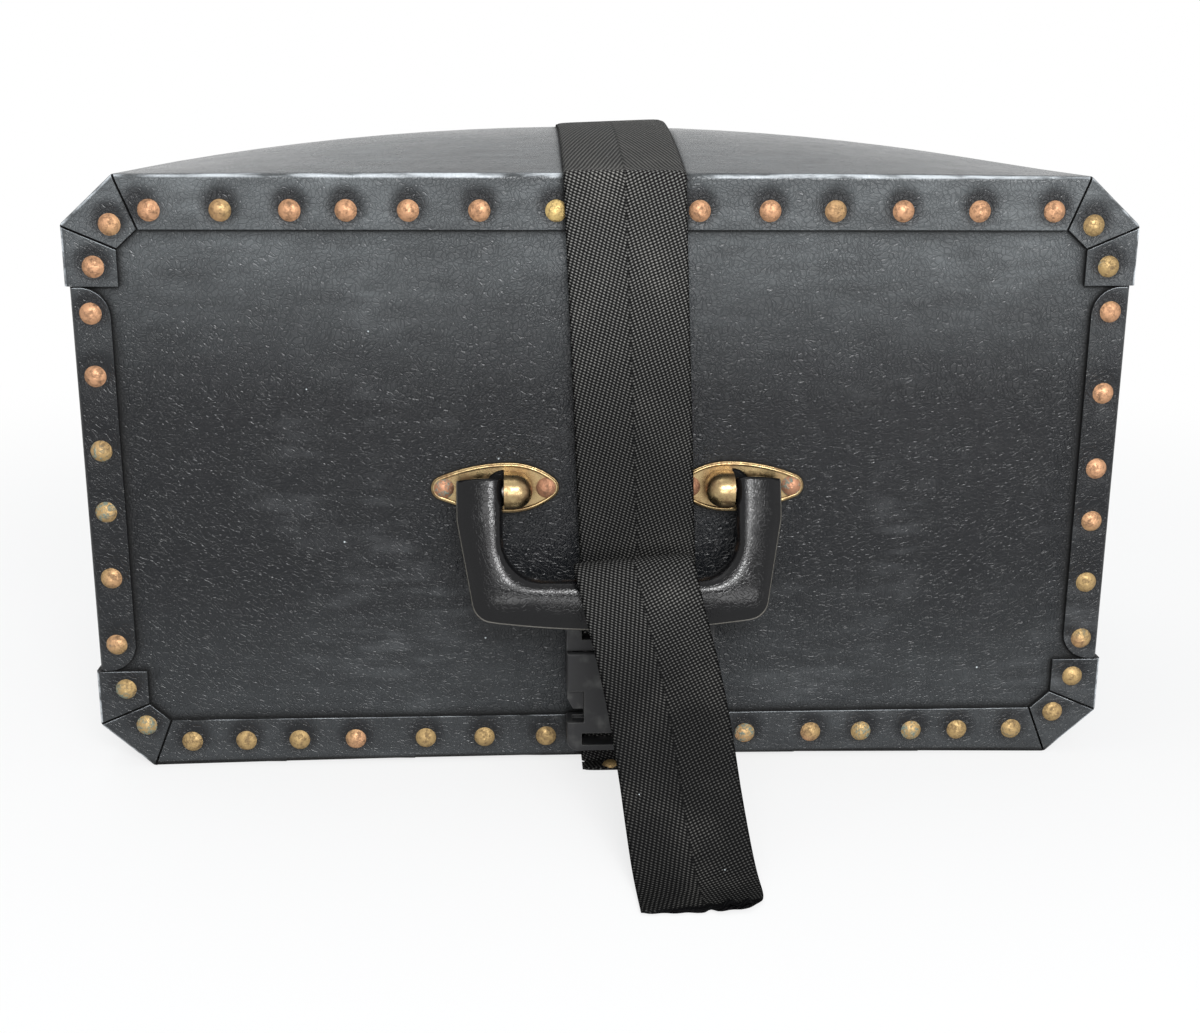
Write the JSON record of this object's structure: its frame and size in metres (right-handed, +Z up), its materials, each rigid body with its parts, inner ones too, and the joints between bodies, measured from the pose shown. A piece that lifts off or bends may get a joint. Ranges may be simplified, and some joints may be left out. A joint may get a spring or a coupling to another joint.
{
  "type": "transport case",
  "caption": "Fibre transport case with a deep lift-off lid, riveted folded edges, a swinging handle on brass plates and a webbing strap with a side-release buckle.",
  "frame": {"origin": "on the floor, below the middle of the closed case's footprint, the loose strap end left out", "axes": "+X to the right along the case's long side, +Y from the lid's panel towards the base's panel, +Z up from the long wall it lies on"},
  "size_m": [0.4494, 0.3599, 0.2757],
  "materials": {
    "fibre": "satin, leather grain",
    "rivet_brass": "worn copper-coloured brass",
    "handle_black": "gloss, dimpled",
    "core_steel": "plain rod",
    "plate_brass": "pressed, tarnished",
    "webbing": "herringbone twill",
    "buckle_plastic": "matte moulded"
  },
  "bodies": {
    "base": {"base_panel": "fibre", "base_upper_wall": "fibre", "base_lower_wall": "fibre", "base_left_wall": "fibre", "base_right_wall": "fibre", "base_flange_rivets": "rivet_brass", "base_wall_rivets": "rivet_brass", "strap_back": "webbing"},
    "lid": {"lid_panel": "fibre", "lid_upper_wall": "fibre", "lid_lower_wall": "fibre", "lid_left_wall": "fibre", "lid_right_wall": "fibre", "lid_flange_rivets": "rivet_brass", "lid_wall_rivets": "rivet_brass", "handle_plate_left": "plate_brass", "handle_plate_right": "plate_brass", "handle_plate_rivets": "rivet_brass", "strap_upper": "webbing", "strap_front": "webbing", "strap_lower": "webbing", "strap_tail": "webbing", "strap_rivet": "rivet_brass", "buckle_female": "buckle_plastic", "buckle_male": "buckle_plastic"},
    "handle": {"handle_grip": "handle_black", "handle_core": "core_steel"},
    "prong_left": {"buckle_prong_left": "buckle_plastic"},
    "prong_right": {"buckle_prong_right": "buckle_plastic"}
  },
  "joints": [
    {"name": "lid_slide", "type": "slide", "parent": "base", "child": "lid", "axis": [0, -1, 0], "range_m": [0, 0.15]},
    {"name": "handle_swing", "type": "hinge", "parent": "lid", "child": "handle", "pos_m": [0.0046, -0.1158, 0.126], "axis": [-1, 0, 0], "range_deg": [0, 150], "deforming": ["strap_tail"]},
    {"name": "prong_left_press", "type": "hinge", "parent": "lid", "child": "prong_left", "pos_m": [-0.0095, -0.1185, 0.0528], "axis": [0, -1, 0], "range_deg": [0, 7], "stiffness_Nm_per_rad": 0.4},
    {"name": "prong_right_press", "type": "hinge", "parent": "lid", "child": "prong_right", "pos_m": [0.0375, -0.1185, 0.0528], "axis": [0, 1, 0], "range_deg": [0, 7], "stiffness_Nm_per_rad": 0.4}
  ],
  "couplings": [
    {"joint": "prong_right_press", "follows": "prong_left_press", "ratio": 1}
  ]
}
